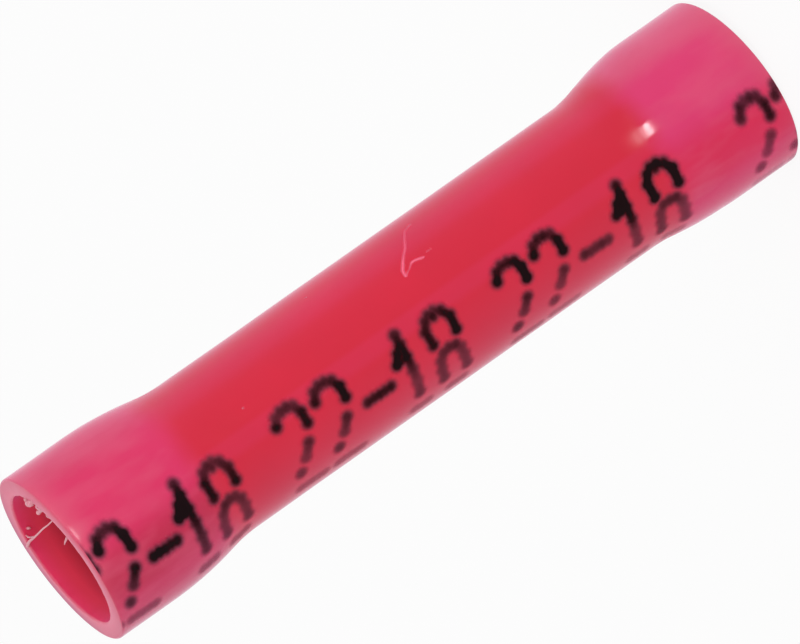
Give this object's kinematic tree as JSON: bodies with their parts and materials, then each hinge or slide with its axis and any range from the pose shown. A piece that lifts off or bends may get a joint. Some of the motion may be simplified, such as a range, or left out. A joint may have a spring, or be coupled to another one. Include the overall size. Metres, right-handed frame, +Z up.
{
  "type": "butt splice connector",
  "caption": "Insulated butt splice: a red nylon sleeve with bell mouths over a tinned crimp barrel that joins thin wires end to end.",
  "frame": {"origin": "centre of the lower rim, on the wires' axis, where the splice stands on its end", "axes": "+Z up along the wires' axis, from the mouth that it stands on to the other mouth"},
  "size_m": [0.0054, 0.0054, 0.024],
  "materials": {
    "red_nylon": "translucent, soft gloss",
    "tinned_copper": "dull bright tin"
  },
  "bodies": {
    "root": {"insulating_sleeve": "red_nylon", "crimp_barrel": "tinned_copper"}
  },
  "joints": []
}
